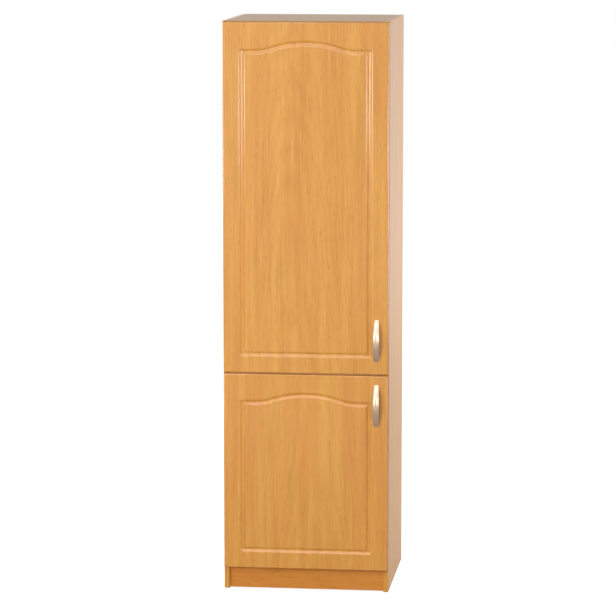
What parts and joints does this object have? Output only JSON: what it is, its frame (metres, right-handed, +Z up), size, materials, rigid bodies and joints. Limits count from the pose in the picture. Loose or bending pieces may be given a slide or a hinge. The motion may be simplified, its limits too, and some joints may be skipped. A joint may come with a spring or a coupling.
{
  "type": "tall kitchen cabinet",
  "caption": "Tall free-standing kitchen larder cabinet with two left-hung framed doors, bow handles, concealed hinges, inner shelves and a recessed plinth.",
  "frame": {"origin": "bottom centre of the whole box, on the floor under the glides", "axes": "+X to the right seen from the front, +Y to the back, +Z up"},
  "size_m": [0.6, 0.5985, 2.07],
  "materials": {
    "door_foil": "satin wood-grain foil over routed fibreboard",
    "carcass_board": "satin wood-grain melamine on chipboard",
    "plinth_foil": "satin wood-grain foil on chipboard",
    "glue_block_wood": "raw sawn softwood",
    "dowel_wood": "raw turned beech",
    "hardboard": "lacquered hardboard",
    "strip_plastic": "extruded",
    "satin_nickel": "satin nickel plate on cast zinc",
    "hinge_steel": "bright nickel plate on pressed steel",
    "plated_steel": "zinc plate",
    "glide_plastic": "moulded brown plastic",
    "bumper_rubber": "soft clear pad"
  },
  "bodies": {
    "carcass": {"left_side_panel": "carcass_board", "right_side_panel": "carcass_board", "top_panel": "carcass_board", "bottom_panel": "carcass_board", "middle_shelf": "carcass_board", "plinth_board": "plinth_foil", "plinth_glue_blocks": "glue_block_wood", "upper_back_panel": "hardboard", "lower_back_panel": "hardboard", "back_joining_strip": "strip_plastic", "lower_shelf": "carcass_board", "shelf_pins": "plated_steel", "wood_dowels": "dowel_wood", "floor_glides": "glide_plastic", "wall_brackets": "plated_steel", "wall_bracket_screws": "plated_steel", "hinge_plate_screws": "plated_steel", "hinge_arm_screws": "plated_steel", "upper_shelf_1": "carcass_board", "upper_shelf_2": "carcass_board", "upper_shelf_3": "carcass_board", "upper_shelf_4": "carcass_board", "upper_hinge_plate_1": "hinge_steel", "upper_hinge_arm_1": "hinge_steel", "upper_hinge_plate_2": "hinge_steel", "upper_hinge_arm_2": "hinge_steel", "upper_hinge_plate_3": "hinge_steel", "upper_hinge_arm_3": "hinge_steel", "lower_hinge_plate_1": "hinge_steel", "lower_hinge_arm_1": "hinge_steel", "lower_hinge_plate_2": "hinge_steel", "lower_hinge_arm_2": "hinge_steel"},
    "upper_hinge_links": {"upper_hinge_link_1": "hinge_steel", "upper_hinge_link_2": "hinge_steel", "upper_hinge_link_3": "hinge_steel"},
    "upper_door": {"upper_hinge_cup_1": "hinge_steel", "upper_hinge_cup_2": "hinge_steel", "upper_hinge_cup_3": "hinge_steel", "upper_cup_screws": "plated_steel", "upper_door_panel": "door_foil", "upper_handle": "satin_nickel", "upper_handle_screws": "plated_steel", "upper_door_bumpers": "bumper_rubber"},
    "lower_hinge_links": {"lower_hinge_link_1": "hinge_steel", "lower_hinge_link_2": "hinge_steel"},
    "lower_door": {"lower_hinge_cup_1": "hinge_steel", "lower_hinge_cup_2": "hinge_steel", "lower_cup_screws": "plated_steel", "lower_door_panel": "door_foil", "lower_handle": "satin_nickel", "lower_handle_screws": "plated_steel", "lower_door_bumpers": "bumper_rubber"}
  },
  "joints": [
    {"name": "upper_link_swing", "type": "hinge", "parent": "carcass", "child": "upper_hinge_links", "pos_m": [-0.262, -0.24775, 1.4365], "axis": [0, 0, 1], "range_deg": [0, 29.1]},
    {"name": "upper_door_swing", "type": "hinge", "parent": "upper_hinge_links", "child": "upper_door", "pos_m": [-0.2865, -0.25695, 1.4365], "axis": [0, 0, -1], "range_deg": [0, 123.97]},
    {"name": "lower_link_swing", "type": "hinge", "parent": "carcass", "child": "lower_hinge_links", "pos_m": [-0.262, -0.24775, 0.443], "axis": [0, 0, 1], "range_deg": [0, 29.1]},
    {"name": "lower_door_swing", "type": "hinge", "parent": "lower_hinge_links", "child": "lower_door", "pos_m": [-0.2865, -0.25695, 0.443], "axis": [0, 0, -1], "range_deg": [0, 123.97]}
  ],
  "couplings": [
    {"joint": "upper_link_swing", "follows": "upper_door_swing", "ratio": 0.23372},
    {"joint": "lower_link_swing", "follows": "lower_door_swing", "ratio": 0.23372}
  ]
}
